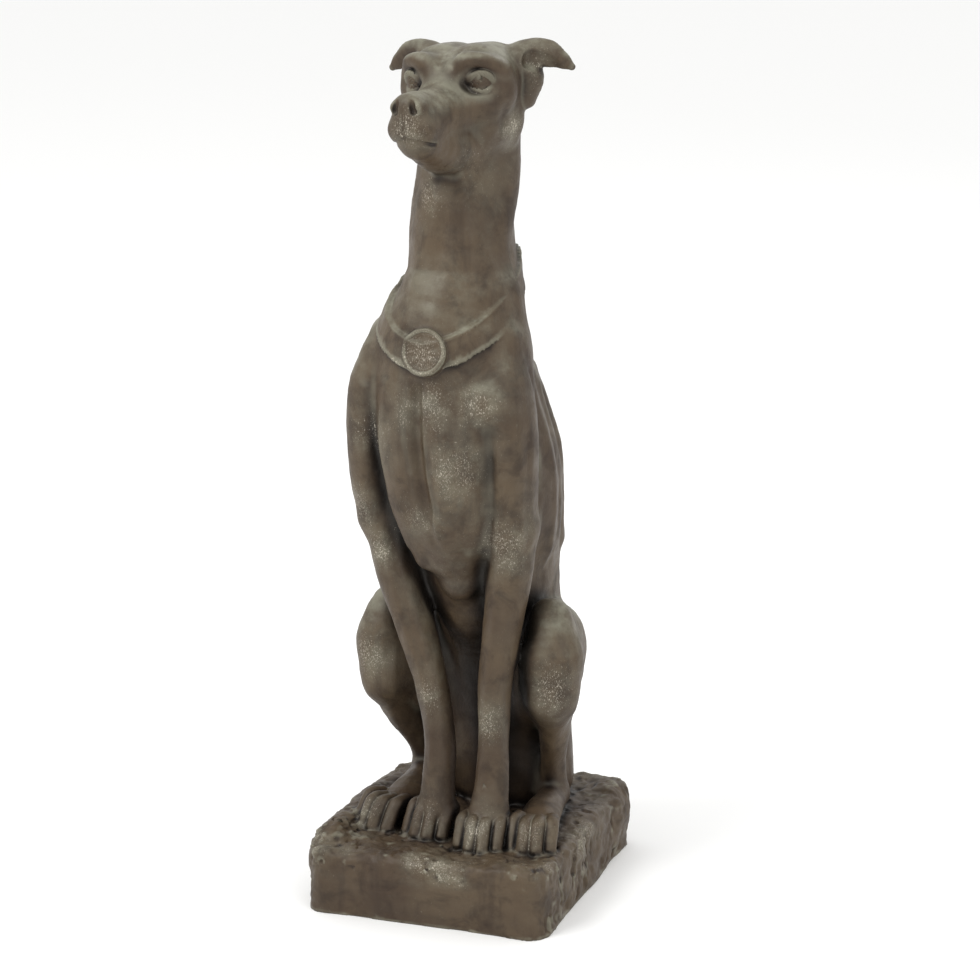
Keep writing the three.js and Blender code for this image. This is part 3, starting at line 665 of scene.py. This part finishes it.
# How much the surroundings close in on the skin at these distances, in millimetres, and what each counts for, in
# the painted shade of recesses
HOLLOW_STEPS = ((2, 0.9), (6, 0.75), (16, 0.35), (40, 0.35))
EDGE_STEPS = ((1.5, 0.6), (4, 1.0))


def mark_hollows(mesh):
    """Attributes for the colour: `hollow`, an occlusion measure in recesses that drives painted shade, `edge` on
    ridges, `worn` on rubbed places, `upward` on skin facing up, which also paints top light.
    """
    P, N = places(mesh), normals(mesh)
    open_share = np.ones(len(P))
    for step, weight in HOLLOW_STEPS:
        d = clay_distance(P + N * step, True, step + 2)
        open_share *= 1 - weight * np.clip(1 - d / step, 0, 1)
    D = to_dog(P)
    # Painted shade, deepest at the listed places between the forelegs
    for place, spread in PAINTED_SHADE_PLACES:
        open_share *= 1 - 0.9 * np.exp(-(((D - place) / spread) ** 2).sum(1))
    store(mesh, "hollow", 1 - open_share)
    edge = np.zeros(len(P))
    for step, weight in EDGE_STEPS:
        d = clay_distance(P - N * step, True)
        edge += weight * np.clip(1 + d / step - 0.08, 0, 1)
    store(mesh, "edge", edge)
    store(mesh, "worn", np.maximum(worn_share(D), rubbed_slab(P)))
    store(mesh, "upward", ramp(N[:, 2], 0.1, 0.8) * ramp(D[:, 2], 30, 120))


# Rubbed places, as [side, back, up] in the dog's frame and how far each spreads
WORN_PLACES = [
    ((40, -60, 610), 26), ((-12, -66, 590), 22), ((4, -108, 410), 34), ((46, -92, 410), 24),
    ((-58, -80, 372), 28), ((-84, -70, 300), 26), ((62, -66, 280), 30), ((-62, -60, 262), 22),
    ((10, -90, 240), 26), ((-92, -30, 150), 26), ((92, -34, 140), 28), ((-14, -66, 130), 20),
    ((44, -66, 110), 20), ((-8, -90, 24), 22), ((46, -96, 24), 24), ((92, -82, 20), 22),
    ((-72, -82, 20), 20), ((0, -104, 454), 24), ((30, -96, 350), 30), ((-10, -100, 300), 24),
    ((0, -132, 655), 22), ((56, -20, 640), 22), ((56, 8, 695), 22),
]


# Places between the forelegs given painted shade, in the same way
PAINTED_SHADE_PLACES = [
    ((18, -14, 215), 22), ((18, 0, 175), 30), ((18, 8, 130), 34), ((18, 14, 85), 36), ((18, 16, 40), 34),
    ((18, 6, 8), 26),
]


def worn_share(D):
    worn = np.zeros(len(D))
    for place, spread in WORN_PLACES:
        worn = np.maximum(worn, np.exp(-(((D - place) / spread) ** 2).sum(1)))
    return worn


def rubbed_slab(P):
    """The slab's upper band, most of all along its edges."""
    z = P[:, 2]
    to_edge = np.minimum(TO_SIDE - np.abs(P[:, 0]), TO_END - np.abs(P[:, 1]))
    band = ramp(z, SLAB_THICKNESS - 30, SLAB_THICKNESS - 12) * ramp(SLAB_THICKNESS + 6 - z, 0, 4)
    uneven = ramp(noise(P, (34, 34, 16), 14), -0.4, 0.5)
    return band * uneven * (0.3 + 0.6 * ramp(24 - to_edge, 0, 16))


def subdivide_where(mesh, wanted):
    bm = bmesh.new()
    bm.from_mesh(mesh)
    bm.verts.ensure_lookup_table()
    near = wanted(places(mesh))
    chosen = [e for e in bm.edges if near[e.verts[0].index] and near[e.verts[1].index]]
    bmesh.ops.subdivide_edges(bm, edges=chosen, cuts=1, use_grid_fill=True)
    bm.to_mesh(mesh)
    bm.free()
    mesh.update()


def fine_places(P):
    """Head, medallion and paws."""
    D = to_dog(P)
    head_part = D[:, 2] > 622
    disc = np.linalg.norm(D - (0, -100, 457), axis=1) < 34
    paw_part = (D[:, 2] < 34) & (D[:, 2] > -3) & (D[:, 1] < -30)
    return head_part | disc | paw_part


dog = clay_copy(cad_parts[STATUE])
draw_to_clay(dog.data, 3, False)
subdivide_where(dog.data, fine_places)
draw_to_clay(dog.data, 6, True, 0.35)

thin = dog.modifiers.new("Thin", "DECIMATE")
triangles = sum(len(p.vertices) - 2 for p in dog.data.polygons)
thin.ratio = min(1, SKIN_TRIANGLES / triangles)
made_mesh(dog)
dog.data.shade_smooth()
dog.data.name = dog.name
mark_hollows(dog.data)
print("triangles", triangles, "to", sum(len(p.vertices) - 2 for p in dog.data.polygons))


# Finish

class Paint:
    """Shorthand for a material's nodes."""

    def __init__(self, name):
        self.material = bpy.data.materials.new(name)
        self.material.use_nodes = True
        self.nodes = self.material.node_tree.nodes
        self.links = self.material.node_tree.links
        self.shader = self.nodes["Principled BSDF"]
        self.place = self.nodes.new("ShaderNodeTexCoord").outputs["Object"]

    def put(self, socket, value):
        if isinstance(value, bpy.types.NodeSocket):
            self.links.new(value, socket)
        else:
            socket.default_value = value

    def stretched(self, scale):
        node = self.nodes.new("ShaderNodeMapping")
        node.inputs["Scale"].default_value = scale
        self.links.new(self.place, node.inputs["Vector"])
        return node.outputs["Vector"]

    def noise(self, scale, detail=4, rough=0.55, stretch=None, bend=0):
        node = self.nodes.new("ShaderNodeTexNoise")
        node.inputs["Scale"].default_value = scale
        node.inputs["Detail"].default_value = detail
        node.inputs["Roughness"].default_value = rough
        node.inputs["Distortion"].default_value = bend
        self.links.new(self.stretched(stretch) if stretch else self.place, node.inputs["Vector"])
        return node.outputs["Fac"]

    def own(self, name):
        node = self.nodes.new("ShaderNodeAttribute")
        node.attribute_name = name
        return node.outputs["Fac"]

    def math(self, operation, a, b=0.0):
        node = self.nodes.new("ShaderNodeMath")
        node.operation = operation
        self.put(node.inputs[0], a)
        self.put(node.inputs[1], b)
        return node.outputs[0]

    def between(self, value, low, high, to_low=0.0, to_high=1.0):
        node = self.nodes.new("ShaderNodeMapRange")
        node.interpolation_type = "SMOOTHSTEP"
        self.put(node.inputs["Value"], value)
        for name, v in (("From Min", low), ("From Max", high), ("To Min", to_low), ("To Max", to_high)):
            node.inputs[name].default_value = v
        return node.outputs["Result"]

    def mix(self, share, a, b):
        node = self.nodes.new("ShaderNodeMix")
        node.data_type = "RGBA"
        self.put(node.inputs["Factor"], share)
        for socket, colour in (("A", a), ("B", b)):
            inputs = [i for i in node.inputs if i.name == socket and i.type == "RGBA"]
            self.put(inputs[0], colour)
        return [o for o in node.outputs if o.type == "RGBA"][0]

    def bump(self, height, strength, distance, normal=None):
        node = self.nodes.new("ShaderNodeBump")
        node.inputs["Strength"].default_value = strength
        node.inputs["Distance"].default_value = distance
        self.links.new(height, node.inputs["Height"])
        if normal:
            self.links.new(normal, node.inputs["Normal"])
        return node.outputs["Normal"]


def colour(red, green, blue):
    """A paint from its sRGB steps, 0 to 255."""
    def linear(v):
        v /= 255
        return v / 12.92 if v <= 0.04045 else ((v + 0.055) / 1.055) ** 2.4
    return (linear(red), linear(green), linear(blue), 1)


EARTH = colour(62, 48, 35)
CLAY_LIGHT = colour(80, 66, 49)
UMBER = colour(41, 29, 21)
# Near-black of the painted shade in the deepest recesses
SHADE_BLACK = colour(10, 7, 5)
# Grey-green of the patina on top faces, which also paints their top light, and of rubbed edges and places
GREY_GREEN = colour(128, 126, 110)
LIME = colour(205, 196, 180)


def cast_stone():
    """Weathered cast stone: brown wash, painted shade in recesses, a grey-green patina above that also paints top
    light, and lime in the grain.
    """
    paint = Paint("weathered_cast_stone")
    hollow, edge, worn, upward = (paint.own(name) for name in ("hollow", "edge", "worn", "upward"))

    patches = paint.noise(9, 5, 0.6)
    mottle = paint.noise(38, 6, 0.65, bend=0.4)
    streaks = paint.noise(30, 4, 0.6, stretch=(1.6, 1.6, 0.16))
    grain = paint.noise(420, 3, 0.7)
    specks = paint.noise(860, 5, 0.8, stretch=(1, 1, 0.6))
    clusters = paint.noise(26, 5, 0.7)

    base = paint.mix(paint.between(patches, 0.35, 0.65), EARTH, CLAY_LIGHT)
    base = paint.mix(paint.between(mottle, 0.45, 0.7, 0, 0.7), base, UMBER)
    base = paint.mix(paint.between(streaks, 0.52, 0.7, 0, 0.45), base, UMBER)
    # Grey-green patina, strongest on skin facing up, and with it painted top light
    bloom_and_top_light = paint.math("MULTIPLY", paint.between(clusters, 0.38, 0.62, 0.3, 1), paint.math("ADD", 0.05, upward))
    base = paint.mix(paint.math("MULTIPLY", bloom_and_top_light, 0.85), base, GREY_GREEN)
    base = paint.mix(paint.math("MULTIPLY", paint.between(edge, 0.1, 0.6), 0.5), base, GREY_GREEN)
    rubbed = paint.math("MULTIPLY", worn, paint.between(clusters, 0.4, 0.65, 0.1, 0.5))
    base = paint.mix(rubbed, base, GREY_GREEN)
    # Painted shade: recesses turn umber, the deepest near black
    recess_shade = paint.between(hollow, 0.2, 0.8)
    base = paint.mix(paint.math("MULTIPLY", recess_shade, 0.72), base, UMBER)
    base = paint.mix(paint.between(hollow, 0.5, 0.95, 0, 0.95), base, SHADE_BLACK)

    lime_place = paint.math("ADD", paint.math("MULTIPLY", worn, 0.75), paint.math("MULTIPLY", edge, 0.5))
    lime_place = paint.math("ADD", lime_place, paint.between(clusters, 0.5, 0.75, 0, 0.35))
    lime_place = paint.math("SUBTRACT", lime_place, paint.math("MULTIPLY", hollow, 0.5))
    threshold = paint.math("ADD", specks, paint.math("MULTIPLY", lime_place, 0.2))
    lime = paint.between(threshold, 0.65, 0.8)
    base = paint.mix(paint.math("MULTIPLY", lime, 0.75), base, LIME)
    paint.links.new(base, paint.shader.inputs["Base Color"])
    paint.shader.inputs["Specular IOR Level"].default_value = 0.28

    rough = paint.between(mottle, 0.3, 0.7, 0.42, 0.62)
    paint.links.new(paint.math("ADD", rough, paint.math("MULTIPLY", lime, 0.2)), paint.shader.inputs["Roughness"])
    coarse = paint.bump(mottle, 0.5, 0.0016)
    drawn = paint.bump(streaks, 0.35, 0.0012, coarse)
    fine = paint.bump(grain, 0.5, 0.0005, drawn)
    paint.links.new(paint.bump(lime, 0.3, 0.0004, fine), paint.shader.inputs["Normal"])
    return paint.material


dog.data.materials.clear()
dog.data.materials.append(cast_stone())
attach(dog, "root")
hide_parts(STATUE)


# Camera, floor and light

CAMERA_DISTANCE = 3.0
CAMERA_AZIMUTH = 19.4
CAMERA_ELEVATION = 14.7
LOOK_AT = Vector((0, 0, 0.39))


def set_camera():
    data = bpy.data.cameras.new("camera")
    camera = bpy.data.objects.new("camera", data)
    bpy.context.scene.collection.objects.link(camera)
    a, e = math.radians(CAMERA_AZIMUTH), math.radians(CAMERA_ELEVATION)
    back = Vector((math.sin(a) * math.cos(e), -math.cos(a) * math.cos(e), math.sin(e)))
    camera.location = LOOK_AT + back * CAMERA_DISTANCE
    camera.rotation_mode = "QUATERNION"
    camera.rotation_quaternion = (-back).to_track_quat("-Z", "Y")
    data.sensor_width = 36
    data.lens = 122.4
    data.shift_x = 17.8 / 980
    data.shift_y = -21.9 / 980
    bpy.context.scene.camera = camera


def set_floor():
    bm = bmesh.new()
    bmesh.ops.create_grid(bm, x_segments=1, y_segments=1, size=8)
    mesh = bpy.data.meshes.new("floor")
    bm.to_mesh(mesh)
    bm.free()
    floor = bpy.data.objects.new("floor", mesh)
    bpy.context.scene.collection.objects.link(floor)
    material = bpy.data.materials.new("pale_floor")
    material.use_nodes = True
    shader = material.node_tree.nodes["Principled BSDF"]
    shader.inputs["Base Color"].default_value = (0.93, 0.93, 0.92, 1)
    shader.inputs["Roughness"].default_value = 0.9
    mesh.materials.append(material)


def soft_light(name, place, size, power, target=(0, 0, 0.4)):
    data = bpy.data.lights.new(name, "AREA")
    data.size = size
    data.energy = power
    light = bpy.data.objects.new(name, data)
    bpy.context.scene.collection.objects.link(light)
    light.location = place
    light.rotation_mode = "QUATERNION"
    light.rotation_quaternion = (Vector(target) - Vector(place)).to_track_quat("-Z", "Y")


set_camera()
set_floor()
soft_light("key", (-1.4, -2.0, 2.8), 1.4, 55)
soft_light("fill", (2.2, -1.6, 1.6), 1.8, 12)
soft_light("rim", (0.8, 2.4, 2.2), 1.5, 14)
world = bpy.data.worlds.new("studio")
world.use_nodes = True
world.node_tree.nodes["Background"].inputs["Color"].default_value = (1, 1, 1, 1)
world.node_tree.nodes["Background"].inputs["Strength"].default_value = 1.0
bpy.context.scene.world = world
bpy.context.scene.view_settings.view_transform = "Standard"
